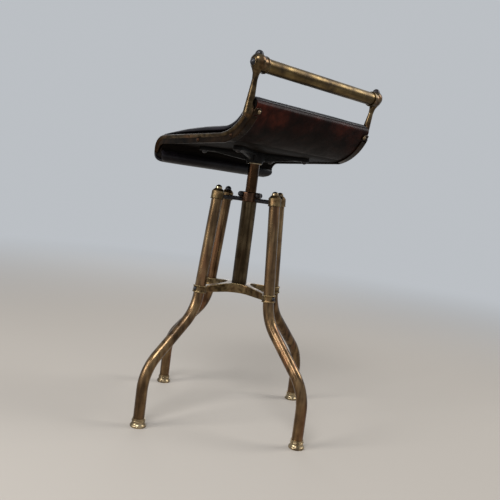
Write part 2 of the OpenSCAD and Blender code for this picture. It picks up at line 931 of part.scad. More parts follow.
// Half width of the pad at a station: sides drawn in over the flat, lower front corners rounded
function pad_side(s) =
    let (u = s[2],
         low = front_edge[1] - shell_t / 2 - pad_thick_shares[2][1] * pad_t,
         z = (s[0] + s[1] * pad_thick_shares[2][1] * pad_t)[1],
         under = max(0, min(front_corner_r, low + front_corner_r - z)),
         drawn = u > 3 && u < 5 ? pad_draw * sin(90 * (u - 3)) : 0)
    pad_half_w - drawn - (u < 3 ? front_corner_r - sqrt(pow(front_corner_r, 2) - pow(under, 2)) : 0);

function edge_share(d) = pad_side_share + (1 - pad_side_share) * sqrt(1 - pow(1 - min(1, d), 2));

// Points across the pad at a station, from one lower side edge over the top to the other
function pad_row(s) =
    let (w = pad_side(s),
         t = lookup(s[2], pad_thick_shares) * pad_t,
         crown = lookup(s[2], pad_crown_shares) * pad_crown,
         half = concat([for (d = pad_round_shares) [w - d * pad_edge, edge_share(d)]],
                       [for (x = pad_span_shares) [x * w, 1]]),
         top = concat(half, [[0, 1]], [for (k = [len(half) - 1 : -1 : 0]) [-half[k][0], half[k][1]]]))
    concat([[w, gap]],
           [for (q = top) [q[0], max(2 * gap, q[1] * t + crown * cos(90 * q[0] / w))]],
           [[-w, gap]]);

function pad_points(s) =
    [for (q = pad_row(s)) [q[0], s[0][0] + q[1] * s[1][0], s[0][1] + q[1] * s[1][1]]];

// Padded leather over the shell: crowned, full over flat and back, rolled round the front and the top edge
module seat_pad() {
    rows = [for (s = pad_stations) pad_points(s)];
    n = len(rows[0]);
    count = len(rows);
    points = [for (r = rows) for (p = r) p];
    sides = [for (j = [0 : count - 2])
                for (i = [0 : n - 1])
                    let (a = j * n + i, b = j * n + (i + 1) % n, c = a + n, d = b + n)
                        for (f = [[a, b, d], [a, d, c]]) f];
    first = [for (i = [1 : n - 2]) [0, i + 1, i]];
    last = [for (i = [1 : n - 2]) [(count - 1) * n, (count - 1) * n + i, (count - 1) * n + i + 1]];
    color(black_leather)
        polyhedron(points, concat(sides, first, last));
}

// Side view of a bracket's web: an even strip along the flat and round the bend, a rise to the upright
// and a curl down the front
module web_profile() {
    root = back_arc(back_slope - rear_turn, back_r + corner_h / 2);
    inside = back_arc(back_slope + rear_turn / 3, back_r + corner_h - gap);
    outside = back_arc(back_slope + rear_turn, back_r + corner_h + gap);
    shy = (web_off + gap) * back_n;
    meets_z = back_end[1] + upright_d;
    meets_share = (meets_z - upright_foot_z) / upright_run[2];
    meets = [upright_foot_y + meets_share * upright_run[1], meets_z];
    low = flat_at(0) - bracket_h * slope_n;
    along = [cos(seat_slope), sin(seat_slope)];
    drop_y = front_c[0] - front_r + web_off;
    flat_part(web_off, bracket_h);
    intersection() {
        ring_part(back_c, back_r + web_off, back_r + corner_h, -seat_slope - 90, back_slope + rear_turn - 90);
        polygon([low, low + foot_r * along, low + foot_r * along + [0, foot_r], low + [0, foot_r]]);
    }
    polygon([root, inside, outside, [rear_edge_y, (back_foot[1] + back_end[1]) / 2], meets,
             back_end - shy, back_foot - shy]);
    difference() {
        union() {
            front_bend(web_off, front_r - web_off);
            translate([drop_y, front_c[1] - curl_drop])
                square([front_c[0] - drop_y, curl_drop]);
        }
        translate(flat_at(-flat_front) - (bracket_h + curl_r) * slope_n)
            circle(curl_r);
    }
}

// Round bead along the bracket's top edge, from its front tip to the upright
module bead() {
    $fn = bead_facets;
    start = [front_c[0] - front_r + bead_off, front_c[1] - curl_drop];
    rotate([90, 0, 90])
        translate([0, 0, bead_x]) {
            translate(start)
                sphere(bead_r);
            translate(start)
                rotate([-90, 0, 0])
                    cylinder(r = bead_r, h = curl_drop + lap);
            translate(front_c)
                rotate([0, 0, 90 + seat_slope])
                    rotate_extrude(angle = 90 - seat_slope)
                        translate([front_r - bead_off, 0])
                            circle(bead_r + bend_swell);
            translate(flat_at(-flat_front) - bead_off * slope_n)
                rotate([0, 0, seat_slope])
                    rotate([0, 90, 0])
                        translate([0, 0, -lap])
                            cylinder(r = bead_r, h = (flat_front + flat_back) / cos(seat_slope) + 2 * lap);
            translate(back_c)
                rotate([0, 0, seat_slope - 90])
                    rotate_extrude(angle = back_slope - seat_slope)
                        translate([back_r + bead_off, 0])
                            circle(bead_r + bend_swell);
            translate(back_foot - bead_off * back_n)
                rotate([0, 0, back_slope])
                    rotate([0, 90, 0])
                        translate([0, 0, -lap])
                            cylinder(r = bead_r, h = back_top + lap);
        }
}

// Half of a disc for a revolve, or with up = 0 only the quarter under its centre
module half_disc(r, up) {
    intersection() {
        circle(r);
        translate([0, -r])
            square([r, r + up]);
    }
}

// Turned upright that thins to a waist and flares into the ball
module upright() {
    thin = upright_d / 2;
    foot_rad = upright_foot_d / 2;
    translate([ball_x, rail_y, ball_z])
        rotate([0, 0, atan2(upright_run[1], upright_run[0])])
            rotate([0, acos(upright_run[2] / upright_len), 0])
                rotate_extrude() {
                    polygon(concat([[0, -upright_len], [foot_rad, -upright_len], [thin, -waist_share * upright_len]],
                                   [for (s = flare_shares)
                                       [thin + s[0] * (ball_r - thin), -s[1] * ball_r]],
                                   [[0, -flare_shares[3][1] * ball_r]]));
                    half_disc(ball_r, ball_r);
                    translate([0, -upright_len])
                        half_disc(foot_rad, 0);
                }
}

// Children at the rail's axis in the left ball, with Z pointing along the rail to the other ball
module on_rail() {
    translate([ball_x, rail_y, rail_z])
        rotate([0, -90, 0])
            children();
}

nut_seat = sqrt(ball_r * ball_r - ball_nut_d * ball_nut_d / 4);
rail_floor = sleeve_len - socket_in;

// Children at the flat on top of the left ball
module at_ball_top() {
    translate([ball_x, rail_y, ball_z + nut_seat])
        children();
}

// Cast brass bracket: beaded web along the seat's side, upright, ball, rail sleeve and rear lug
module bracket() {
    clear_z = back_edge[1] + (shell_t + pad_t) / 2;
    color(brass)
        difference() {
            union() {
                translate([shell_half_w + web_t / 2, 0, 0])
                    across(web_t)
                        web_profile();
                bead();
                difference() {
                    upright();
                    cube([shell_half_w, foot_r, clear_z]);
                }
                on_rail() {
                    cylinder(d = sleeve_d, h = sleeve_len - sleeve_ring_h / 2);
                    translate([0, 0, sleeve_len - sleeve_ring_h])
                        cylinder(d = sleeve_ring_d, h = sleeve_ring_h);
                    mirror([0, 0, 1])
                        cylinder(d = rail_boss_d, h = rail_boss_h);
                }
                translate([shell_half_w - flange_w, 0, 0])
                    rotate([90, 0, 90])
                        linear_extrude(flange_w + web_t / 2)
                            ring_part(back_c, back_r + corner_h - flange_t, back_r + corner_h - bend_swell,
                                      facing_from - flange_turn - 90, back_slope - 90);
                on_rear(back_top / 2, rear_off) {
                    translate([shell_half_w - lug_w + lug_len / 2, 0, 0])
                        cylinder(d = lug_len, h = lug_t);
                    translate([shell_half_w - lug_w + lug_len / 2, -lug_len / 2, 0])
                        cube([lug_w - lug_len / 2 + web_t / 2, lug_len, lug_t]);
                }
            }
            on_rail() {
                translate([0, 0, rail_floor])
                    cylinder(d = rail_d + 2 * fit, h = sleeve_len);
                translate([0, 0, -ball_d])
                    cylinder(d = rail_thread_d + 2 * fit, h = 2 * ball_d);
                translate([0, 0, -rail_boss_h - ball_d])
                    cylinder(d = ball_d, h = ball_d);
            }
            at_ball_top() {
                cylinder(d = ball_nut_d + 2 * fit, h = ball_d);
                translate([0, 0, -ball_stud_in])
                    cylinder(d = ball_stud_d + 2 * fit, h = ball_stud_in + over);
            }
            at_web_screws()
                cylinder(d = screw_d + 2 * fit, h = 4 * web_t, center = true);
            at_lug_screws(rear_off)
                cylinder(d = screw_d + 2 * fit, h = 4 * lug_t, center = true);
        }
}

module bracket_screws() {
    color(dark_brass)
        at_web_screws() {
            translate([0, 0, web_t])
                dome(web_screw_d, web_screw_h);
            translate([0, 0, -web_screw_in + gap])
                cylinder(d = screw_d, h = web_screw_in + web_t - gap);
        }
}

module lug_screws() {
    color(pale_brass)
        at_lug_screws(rear_off) {
            translate([0, 0, lug_t])
                dome(lug_screw_d, lug_screw_h);
            translate([0, 0, -facing_t - bolt_in + gap])
                cylinder(d = screw_d, h = facing_t + bolt_in + lug_t - gap);
        }
}

rail_half = ball_x - rail_floor - gap;

module back_rail() {
    color(brass)
        translate([-rail_half, rail_y, rail_z])
            rotate([0, 90, 0])
                pipe(rail_d, rail_wall, 2 * rail_half);
}

// Plugs inside the rail's ends, which take the end screws
module rail_plugs() {
    color(steel)
        for (side = [0, 1])
            mirror([side, 0, 0])
                translate([rail_half - plug_len, rail_y, rail_z])
                    rotate([0, 90, 0])
                        pipe(rail_d - 2 * rail_wall - 2 * fit, (rail_d - rail_thread_d) / 2 - rail_wall - 2 * fit,
                             plug_len);
}

module rail_screws() {
    color(steel)
        for (side = [0, 1])
            mirror([side, 0, 0])
                on_rail()
                    translate([0, 0, -rail_boss_h]) {
                        mirror([0, 0, 1])
                            dome(rail_screw_d, rail_screw_h);
                        cylinder(d = rail_thread_d, h = rail_boss_h + rail_floor + plug_len - gap);
                    }
}

// Dark domed nuts on top of the balls, each with its stud
module ball_nuts() {
    color(steel)
        for (side = [0, 1])
            mirror([side, 0, 0])
                at_ball_top() {
                    dome(ball_nut_d, ball_nut_h);
                    translate([0, 0, -ball_stud_in + gap])
                        cylinder(d = ball_stud_d, h = ball_stud_in - gap + touch);
                }
}

leg(left_turn);  // leg_left
leg(back_turn);  // leg_back
leg(right_turn);  // leg_right
leg(front_turn);  // leg_front
foot(left_turn);  // foot_left
foot(back_turn);  // foot_back
foot(right_turn);  // foot_right
foot(front_turn);  // foot_front
lower_spider();
collar_screws();
centre_tube();
clamp_head();
clamp_screws();
stay_rods();
cap(left_turn);  // cap_left
cap(back_turn);  // cap_back
cap(right_turn);  // cap_right
cap(front_turn);  // cap_front
dome_nuts();
post();
post_bush();
thrust_washer();
pivot_nut();
seat_spider();
spider_bolts();
seat_shell();
back_facing();
seat_pad();
bracket();  // bracket_left
mirror([1, 0, 0]) bracket();  // bracket_right
bracket_screws();
lug_screws();
back_rail();
rail_plugs();
rail_screws();
ball_nuts();
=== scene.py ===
import bpy
import math
from mathutils import Matrix, Vector, noise
from mathutils.bvhtree import BVHTree


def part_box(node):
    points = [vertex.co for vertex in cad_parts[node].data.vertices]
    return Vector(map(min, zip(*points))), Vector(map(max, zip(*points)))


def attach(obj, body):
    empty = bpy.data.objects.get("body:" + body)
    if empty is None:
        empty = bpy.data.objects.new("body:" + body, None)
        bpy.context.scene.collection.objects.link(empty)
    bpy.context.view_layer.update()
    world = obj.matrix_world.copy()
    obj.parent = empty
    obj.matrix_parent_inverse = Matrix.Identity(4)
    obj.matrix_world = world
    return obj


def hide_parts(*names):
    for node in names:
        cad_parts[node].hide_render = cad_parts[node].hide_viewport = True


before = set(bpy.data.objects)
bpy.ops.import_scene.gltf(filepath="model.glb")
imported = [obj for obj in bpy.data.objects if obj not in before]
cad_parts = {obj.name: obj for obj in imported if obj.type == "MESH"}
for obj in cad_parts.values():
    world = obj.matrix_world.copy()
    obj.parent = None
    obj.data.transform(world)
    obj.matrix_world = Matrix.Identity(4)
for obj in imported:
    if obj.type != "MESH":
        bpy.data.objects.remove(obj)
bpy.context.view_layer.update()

# Camera: the photograph was taken from behind the sitter's left, a little below the seat's level,
# with the camera rolled so that the stool leans to the right.
photo_camera = bpy.data.cameras.new("photo_camera")
photo_camera.sensor_width = 36
photo_camera.lens = 47.71
photo_camera.clip_end = 50
camera = bpy.data.objects.new("photo_camera", photo_camera)
bpy.context.collection.objects.link(camera)
heading = Matrix.Rotation(math.radians(136.13), 4, "Z")
pitch = Matrix.Rotation(math.radians(84.92), 4, "X")
roll = Matrix.Rotation(math.radians(7.405), 4, "Z")
camera.matrix_world = Matrix.Translation((0.9303, 0.9878, 0.4648)) @ heading @ pitch @ roll
bpy.context.scene.camera = camera

# Floor and backdrop: plain and pale, and only there to carry the stool's shadow. Away from the stool
# the floor runs out into the backdrop's colour, so that no hard horizon crosses the picture.


def combined(nodes, links, way, first, second=None, clamped=False):
    """One sum on the values of one or two other nodes."""
    step = nodes.new("ShaderNodeMath")
    step.operation = way
    step.use_clamp = clamped
    links.new(first, step.inputs[0])
    if second is not None:
        links.new(second, step.inputs[1])
    return step.outputs[0]


backdrop_colour = (0.50, 0.525, 0.555, 1)
fade_starts = 0.7
fade_ends = 3.2
bpy.ops.object.select_all(action="DESELECT")
bpy.ops.mesh.primitive_plane_add(size=30, location=(0, 0, 0))
floor = bpy.context.object
floor.name = "floor"
floor_paint = bpy.data.materials.new("floor_paint")
floor_paint.use_nodes = True
paint_nodes, paint_links = floor_paint.node_tree.nodes, floor_paint.node_tree.links
floor_shader = paint_nodes["Principled BSDF"]
floor_shader.inputs["Base Color"].default_value = (0.52, 0.48, 0.43, 1)
floor_shader.inputs["Roughness"].default_value = 0.9
floor_shader.inputs["Specular IOR Level"].default_value = 0.1
floor_place = paint_nodes.new("ShaderNodeTexCoord")
floor_reach = paint_nodes.new("ShaderNodeVectorMath")
floor_reach.operation = "LENGTH"
paint_links.new(floor_place.outputs["Object"], floor_reach.inputs[0])
floor_fade = paint_nodes.new("ShaderNodeMapRange")
floor_fade.interpolation_type = "SMOOTHSTEP"
floor_fade.inputs["From Min"].default_value = fade_starts
floor_fade.inputs["From Max"].default_value = fade_ends
paint_links.new(floor_reach.outputs["Value"], floor_fade.inputs["Value"])
far_floor = paint_nodes.new("ShaderNodeEmission")
far_floor.inputs["Color"].default_value = backdrop_colour
floor_rays = paint_nodes.new("ShaderNodeLightPath")
floor_seen = combined(paint_nodes, paint_links, "MAXIMUM",
                      floor_rays.outputs["Is Camera Ray"], floor_rays.outputs["Is Glossy Ray"])
floor_share = combined(paint_nodes, paint_links, "MULTIPLY", floor_seen, floor_fade.outputs["Result"])
floor_mix = paint_nodes.new("ShaderNodeMixShader")
paint_links.new(floor_share, floor_mix.inputs[0])
paint_links.new(floor_shader.outputs[0], floor_mix.inputs[1])
paint_links.new(far_floor.outputs[0], floor_mix.inputs[2])
paint_links.new(floor_mix.outputs[0], paint_nodes["Material Output"].inputs["Surface"])
floor.data.materials.append(floor_paint)

# Room: an even pale light on the stool, and the backdrop's own colour for the camera, for what metal
# mirrors and for what is seen through.
world = bpy.data.worlds.new("pale_room")
bpy.context.scene.world = world
world.use_nodes = True
world_nodes = world.node_tree.nodes
world_links = world.node_tree.links
room_light = world_nodes["Background"]
room_light.inputs["Color"].default_value = (0.93, 0.95, 1.0, 1)
room_light.inputs["Strength"].default_value = 0.30
seen_wall = world_nodes.new("ShaderNodeBackground")
seen_wall.inputs["Color"].default_value = backdrop_colour
seen_wall.inputs["Strength"].default_value = 1.0
rays = world_nodes.new("ShaderNodeLightPath")
wall_share = rays.outputs["Is Camera Ray"]
for kind in ("Is Transmission Ray", "Is Glossy Ray"):
    wall_share = combined(world_nodes, world_links, "MAXIMUM", wall_share, rays.outputs[kind])
room_mix = world_nodes.new("ShaderNodeMixShader")
world_links.new(wall_share, room_mix.inputs[0])
world_links.new(room_light.outputs[0], room_mix.inputs[1])
world_links.new(seen_wall.outputs[0], room_mix.inputs[2])
world_links.new(room_mix.outputs[0], world_nodes["World Output"].inputs["Surface"])

# Lamps: a high one at the right like a window, a lower one at the left, one high behind the camera and
# a fill beyond the stool. All are square and large, so that the metal shows long soft highlights.


def soft_lamp(name, place, target, size, power, tint):
    """A square lamp that looks at a point."""
    lamp = bpy.data.lights.new(name, "AREA")
    lamp.shape = "SQUARE"
    lamp.size = size
    lamp.energy = power
    lamp.color = tint
    holder = bpy.data.objects.new(name, lamp)
    bpy.context.collection.objects.link(holder)
    holder.location = place
    holder.rotation_euler = (Vector(target) - Vector(place)).to_track_quat("-Z", "Y").to_euler()


soft_lamp("window_light", (-1.6, 1.0, 1.9), (0, 0, 0.45), 1.0, 22, (1.0, 0.99, 0.97))
soft_lamp("left_light", (2.4, -0.3, 1.3), (0, 0, 0.4), 1.0, 34, (1.0, 0.99, 0.97))
soft_lamp("top_light", (1.45, 0.9, 2.2), (0, 0, 0.3), 0.8, 28, (0.97, 0.98, 1.0))
soft_lamp("back_fill", (-1.4, -2.1, 1.2), (0, 0, 0.4), 1.6, 12, (0.95, 0.97, 1.0))

# Legs: four lengths of brass tube, each bent twice. The brass is old and has gone olive brown under
# its lacquer, with long rubbed streaks, a coppery flush here and there, and fine dark pits.


def tone_ramp(nodes, stops):
    """A colour ramp with a colour at each place."""
    ramp = nodes.new("ShaderNodeValToRGB")
    steps = ramp.color_ramp.elements
    while len(steps) < len(stops):
        steps.new(0.5)
    for step, (place, colour) in zip(steps, stops):
        step.position = place
        step.color = (*colour, 1)
    return ramp


def noise_on(nodes, links, vector, scale, detail, distortion=0.0):
    """Noise of one scale on a vector, with soft detail."""
    texture = nodes.new("ShaderNodeTexNoise")
    texture.inputs["Scale"].default_value = scale
    texture.inputs["Detail"].default_value = detail
    texture.inputs["Roughness"].default_value = 0.6
    texture.inputs["Distortion"].default_value = distortion
    links.new(vector, texture.inputs["Vector"])
    return texture.outputs["Fac"]


def spread(nodes, links, value, low, high, to_low, to_high):
    """A value stretched from one range to another."""
    stretch = nodes.new("ShaderNodeMapRange")
    stretch.interpolation_type = "SMOOTHSTEP"
    stretch.inputs["From Min"].default_value = low
    stretch.inputs["From Max"].default_value = high
    stretch.inputs["To Min"].default_value = to_low
    stretch.inputs["To Max"].default_value = to_high
    links.new(value, stretch.inputs["Value"])
    return stretch.outputs["Result"]


def mixed(nodes, links, share, under, over, way="MIX"):
    """Two colours laid one over the other. The share is a number or another node's value."""
    mix = nodes.new("ShaderNodeMix")
    mix.data_type = "RGBA"
    mix.blend_type = way
    if isinstance(share, float):
        mix.inputs[0].default_value = share
    else:
        links.new(share, mix.inputs[0])
    for socket, colour in ((6, under), (7, over)):
        if isinstance(colour, tuple):
            mix.inputs[socket].default_value = (*colour, 1)
        else:
            links.new(colour, mix.inputs[socket])
    return mix.outputs[2]


def relief(nodes, links, shader, heights):
    """Bumps laid over one another, finest first: each is a value, its strength and its depth."""
    normal = None
    for value, strength, depth in heights:
        bump = nodes.new("ShaderNodeBump")
        bump.inputs["Strength"].default_value = strength
        bump.inputs["Distance"].default_value = depth
        links.new(value, bump.inputs["Height"])
        if normal:
            links.new(normal, bump.inputs["Normal"])
        normal = bump.outputs["Normal"]
    links.new(normal, shader.inputs["Normal"])


def aged_brass(name, light, mid, dark, rough, flush=(0.24, 0.115, 0.055), flush_share=0.5,
               along=(1, 1, 0.08), edges=0.0, lacquer=0.0):
    """Old brass in three tones, with long rubbed streaks along one way, a flush and fine pits."""
    metal = bpy.data.materials.new(name)
    metal.use_nodes = True
    nodes, links = metal.node_tree.nodes, metal.node_tree.links
    shader = nodes["Principled BSDF"]
    shader.inputs["Metallic"].default_value = 1.0
    shader.inputs["Coat Weight"].default_value = lacquer
    shader.inputs["Coat Roughness"].default_value = 0.15
    where = nodes.new("ShaderNodeTexCoord").outputs["Object"]
    lengthwise = nodes.new("ShaderNodeMapping")
    lengthwise.inputs["Scale"].default_value = along
    links.new(where, lengthwise.inputs["Vector"])
    blotches = noise_on(nodes, links, where, 24, 3)
    streaks = noise_on(nodes, links, lengthwise.outputs["Vector"], 110, 1)
    clouds = noise_on(nodes, links, lengthwise.outputs["Vector"], 34, 2, 0.5)
    pits = noise_on(nodes, links, where, 420, 3)
    tones = tone_ramp(nodes, [(0.30, dark), (0.50, mid), (0.72, light)])
    links.new(blotches, tones.inputs["Fac"])
    colour = tones.outputs["Color"]
    colour = mixed(nodes, links, spread(nodes, links, clouds, 0.50, 0.68, 0.0, flush_share), colour, flush)
    shade = tone_ramp(nodes, [(0.36, (0.50, 0.47, 0.44)), (0.60, (1.22, 1.20, 1.16))])
    links.new(streaks, shade.inputs["Fac"])
    colour = mixed(nodes, links, 1.0, colour, shade.outputs["Color"], "MULTIPLY")
    spots = tone_ramp(nodes, [(0.27, (0.45, 0.42, 0.40)), (0.37, (1, 1, 1))])
    links.new(pits, spots.inputs["Fac"])
    colour = mixed(nodes, links, 1.0, colour, spots.outputs["Color"], "MULTIPLY")
    # Where edges is set, convex edges are lightened: partly rubbed wear and partly a painted highlight.
    # Hollows are darkened with patina.
    if edges:
        form = nodes.new("ShaderNodeNewGeometry").outputs["Pointiness"]
        rubbed = spread(nodes, links, form, 0.51, 0.56, 0.0, edges)
        colour = mixed(nodes, links, rubbed, colour, tuple(1.8 * value for value in light))
        hollow = spread(nodes, links, form, 0.49, 0.44, 0.0, 0.7)
        colour = mixed(nodes, links, hollow, colour, tuple(0.6 * value for value in dark))
    links.new(colour, shader.inputs["Base Color"])
    rougher = spread(nodes, links, blotches, 0.3, 0.7, rough + 0.10, rough - 0.07)
    links.new(rougher, shader.inputs["Roughness"])
    relief(nodes, links, shader, [(pits, 0.02, 0.0002), (streaks, 0.03, 0.0002), (blotches, 0.06, 0.0006)])
    return metal


def pick(piece):
    """Selects one piece and nothing else."""
    bpy.ops.object.select_all(action="DESELECT")
    bpy.context.view_layer.objects.active = piece
    piece.select_set(True)


def smoothed(node, body, material, angle=32, edge=0.0):
    """A copy of a CAD node, its triangles merged, its edges eased and its curves shaded smooth."""
    merge_reach = 0.000004
    flat_angle = 0.5
    edge_angle = 40
    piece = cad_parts[node].copy()
    piece.data = piece.data.copy()
    piece.name = piece.data.name = node + "_finished"
    piece.parent = None
    bpy.context.collection.objects.link(piece)
    pick(piece)
    bpy.ops.object.mode_set(mode="EDIT")
    bpy.ops.mesh.select_all(action="SELECT")
    bpy.ops.mesh.customdata_custom_splitnormals_clear()
    bpy.ops.mesh.remove_doubles(threshold=merge_reach)
    if edge:
        bpy.ops.mesh.dissolve_limited(angle_limit=math.radians(flat_angle))
    bpy.ops.object.mode_set(mode="OBJECT")
    if edge:
        ease = piece.modifiers.new("eased_edges", "BEVEL")
        ease.width = edge
        ease.segments = 2
        ease.limit_method = "ANGLE"
        ease.angle_limit = math.radians(edge_angle)
        bpy.ops.object.modifier_apply(modifier=ease.name)
    bpy.ops.object.shade_smooth_by_angle(angle=math.radians(angle))
    piece.data.materials.clear()
    piece.data.materials.append(material)
    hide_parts(node)
    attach(piece, body)
    return piece


tube_brass = aged_brass("tube_brass", (0.250, 0.164, 0.080), (0.146, 0.089, 0.042),
                        (0.072, 0.041, 0.020), 0.31, flush=(0.19, 0.08, 0.038), lacquer=0.2)
for leg in ("leg_left", "leg_back", "leg_right", "leg_front"):
    smoothed(leg, "base", tube_brass)

# Feet: turned brass ferrules pushed over the tube ends, with a cove and a neck above a round rim.
# The floor and years of shoes have rubbed them brighter than the legs.
rubbed_brass = aged_brass("rubbed_brass", (0.46, 0.38, 0.25), (0.33, 0.26, 0.16),
                          (0.19, 0.14, 0.085), 0.27, flush_share=0.15)
for foot in ("foot_left", "foot_back", "foot_right", "foot_front"):
    smoothed(foot, "base", rubbed_brass)

# Lower spider: one sand-cast brass star with a collar round each leg and a blind socket in the
# middle for the centre tube. It is filed and lacquered, and its inner corners stay soft.


def cast(node, body, material, voxel, smooth):
    """A copy of a CAD node with the soft inner corners that a sand casting has."""
    piece = smoothed(node, body, material)
    pick(piece)
    skin = piece.modifiers.new("skin", "REMESH")
    skin.mode = "VOXEL"
    skin.voxel_size = voxel
    bpy.ops.object.modifier_apply(modifier=skin.name)
    ease = piece.modifiers.new("ease", "SMOOTH")
    ease.factor = 0.5
    ease.iterations = smooth
    bpy.ops.object.modifier_apply(modifier=ease.name)
    bpy.ops.object.shade_smooth()
    return piece


cast_brass = aged_brass("cast_brass", (0.215, 0.158, 0.080), (0.138, 0.098, 0.048),
                        (0.070, 0.047, 0.024), 0.36, flush_share=0.25, along=(1, 1, 1), edges=0.6)
cast("lower_spider", "base", cast_brass, 0.0009, 5)

# Collar screws: small round-headed screws of blackened steel, one in each collar of the spider,
# that pinch the legs. A little rust shows through the black.


def dark_metal(name, colour, rough, rust, metallic=0.85):
    """Blackened or japanned metal with grime and a little rust."""
    metal = bpy.data.materials.new(name)
    metal.use_nodes = True
    nodes, links = metal.node_tree.nodes, metal.node_tree.links
    shader = nodes["Principled BSDF"]
    shader.inputs["Metallic"].default_value = metallic
    shader.inputs["Specular IOR Level"].default_value = 0.12
    where = nodes.new("ShaderNodeTexCoord").outputs["Object"]
    grime = noise_on(nodes, links, where, 140, 5)
    clouds = noise_on(nodes, links, where, 30, 4)
    tones = tone_ramp(nodes, [(0.32, tuple(0.4 * value for value in colour)), (0.68, colour)])
    links.new(grime, tones.inputs["Fac"])
    rusty = spread(nodes, links, clouds, 0.5, 0.7, 0.0, 0.55)
    links.new(mixed(nodes, links, rusty, tones.outputs["Color"], rust), shader.inputs["Base Color"])
    rougher = spread(nodes, links, grime, 0.3, 0.7, rough + 0.15, rough - 0.06)
    links.new(rougher, shader.inputs["Roughness"])
    relief(nodes, links, shader, [(grime, 0.2, 0.0003), (clouds, 0.1, 0.0010)])
    return metal


black_steel = dark_metal("black_steel", (0.055, 0.054, 0.058), 0.34, rust=(0.035, 0.018, 0.011))
smoothed("collar_screws", "base", black_steel)

# Centre tube: a darker, browner length of brass tube that the post slides in. It stands in the
# lower spider's socket, and the clamp head sits on its top.
brown_brass = aged_brass("brown_brass", (0.125, 0.090, 0.050), (0.070, 0.049, 0.027),
                         (0.032, 0.022, 0.013), 0.34, flush=(0.11, 0.056, 0.030), flush_share=0.4)
smoothed("centre_tube", "base", brown_brass)

# Clamp head: a turned drum of red-brown brass on the centre tube's top. The black clamp screws
# round it bear on the post and hold the seat's height.
copper_brown = aged_brass("copper_brown", (0.13, 0.072, 0.045), (0.060, 0.032, 0.020),
                          (0.024, 0.014, 0.009), 0.34, flush=(0.10, 0.045, 0.026))
smoothed("clamp_head", "base", copper_brown)
smoothed("clamp_screws", "base", black_steel)

# Stay rods: round rods of blackened steel that run out from the clamp head to the leg caps
# and keep the tops of the legs at their distance.
smoothed("stay_rods", "base", black_steel)

# Leg caps: turned brass caps over the tube tops, each closed by a dome nut. Three of the nuts are
# brass, and the one on the front leg is a black steel one, as photographed.
for cap in ("cap_left", "cap_back", "cap_right", "cap_front"):
    smoothed(cap, "base", cast_brass, edge=0.0004)
dome_nuts = smoothed("dome_nuts", "base", black_steel)
dome_nuts.data.materials.append(rubbed_brass)
for face in dome_nuts.data.polygons:
    if face.center.y > -abs(face.center.x):
        face.material_index = 1

# Post: the bar that rises in the centre tube, polished and brown with wear. A brass bush guides its
# foot in the tube, and the seat turns on its top between a brass washer and a black nut.
post_copper = aged_brass("post_copper", (0.11, 0.058, 0.028), (0.044, 0.023, 0.011),
                         (0.016, 0.009, 0.005), 0.19, flush=(0.11, 0.048, 0.023))
smoothed("post", "post", post_copper)
smoothed("post_bush", "post", rubbed_brass)
smoothed("thrust_washer", "post", rubbed_brass)
smoothed("pivot_nut", "post", black_steel)

# Seat spider: a cast iron spider with ribbed arms that carries the seat on the post. It is japanned
# black, so its skin is paint and not bare metal, and it is bolted under the shell.
black_iron = dark_metal("black_iron", (0.008, 0.0072, 0.0065), 0.46,
                        rust=(0.010, 0.006, 0.004), metallic=0.0)
smoothed("seat_spider", "seat", black_iron, edge=0.0008)
smoothed("spider_bolts", "seat", black_steel)

# Seat shell: the moulded board under the leather, bent down at the front and up at the back.
# It is stained dark, and its stain is darkened to near black to paint the shade under the seat; dust has
# settled in its grain.


def stained_board(name, light, dark):
    """Dark stained wood with its grain across the seat."""
    board = bpy.data.materials.new(name)
    board.use_nodes = True
    nodes, links = board.node_tree.nodes, board.node_tree.links
    shader = nodes["Principled BSDF"]
    shader.inputs["Specular IOR Level"].default_value = 0.05
    shader.inputs["IOR"].default_value = 1.3
    where = nodes.new("ShaderNodeTexCoord").outputs["Object"]
    along = nodes.new("ShaderNodeMapping")
    along.inputs["Scale"].default_value = (1, 14, 14)
    links.new(where, along.inputs["Vector"])
    grain = noise_on(nodes, links, along.outputs["Vector"], 16, 7, 0.4)
    dust = noise_on(nodes, links, where, 34, 5)
    tones = tone_ramp(nodes, [(0.36, dark), (0.66, light)])
    links.new(grain, tones.inputs["Fac"])
    dusty = spread(nodes, links, dust, 0.55, 0.75, 0.0, 0.25)
    stain = mixed(nodes, links, dusty, tones.outputs["Color"], (0.011, 0.008, 0.006))
    links.new(stain, shader.inputs["Base Color"])
    shader.inputs["Roughness"].default_value = 0.5
    relief(nodes, links, shader, [(grain, 0.3, 0.0004)])
    return board


# Near-black colours: the board's dark stain together with painted shade under the seat.
shade_darkened_board = stained_board("shade_darkened_board", (0.010, 0.0072, 0.0055), (0.004, 0.0030, 0.0025))
smoothed("seat_shell", "seat", shade_darkened_board)

# Back facing: oxblood leather glued over the rear of the back and turned over its top edge. It is redder
# near the top and goes nearly black lower down, and a pale grey line along its folded top edge is a
# painted highlight. Its skin is thin, so it is cut into small squares, and its shallow dents are set point
# by point.


def grained_hide(nodes, links, shader, where, dents):
    """The grain of old polished leather: pores, fine creases and broad soft dents."""
    pore_edges = nodes.new("ShaderNodeTexVoronoi")
    pore_edges.feature = "DISTANCE_TO_EDGE"
    pore_edges.inputs["Scale"].default_value = 640
    links.new(where, pore_edges.inputs["Vector"])
    pores = spread(nodes, links, pore_edges.outputs["Distance"], 0.0, 0.25, 0.0, 1.0)
    creases = noise_on(nodes, links, where, 95, 5, 1.4)
    relief(nodes, links, shader, [(pores, 0.16, 0.0003), (creases, 0.28, 0.0010), (dents, 0.25, 0.0030)])


def cut_across(piece, axis, low, high, pitch):
    """Cuts a mesh across one axis at an even pitch, so that it can bend between the cuts."""
    pick(piece)
    bpy.ops.object.mode_set(mode="EDIT")
    normal = [1 if number == axis else 0 for number in range(3)]
    for cut in range(1, int((high - low) / pitch)):
        place = [low + cut * pitch if number == axis else 0 for number in range(3)]
        bpy.ops.mesh.select_all(action="SELECT")
        bpy.ops.mesh.bisect(plane_co=place, plane_no=normal)
    bpy.ops.object.mode_set(mode="OBJECT")


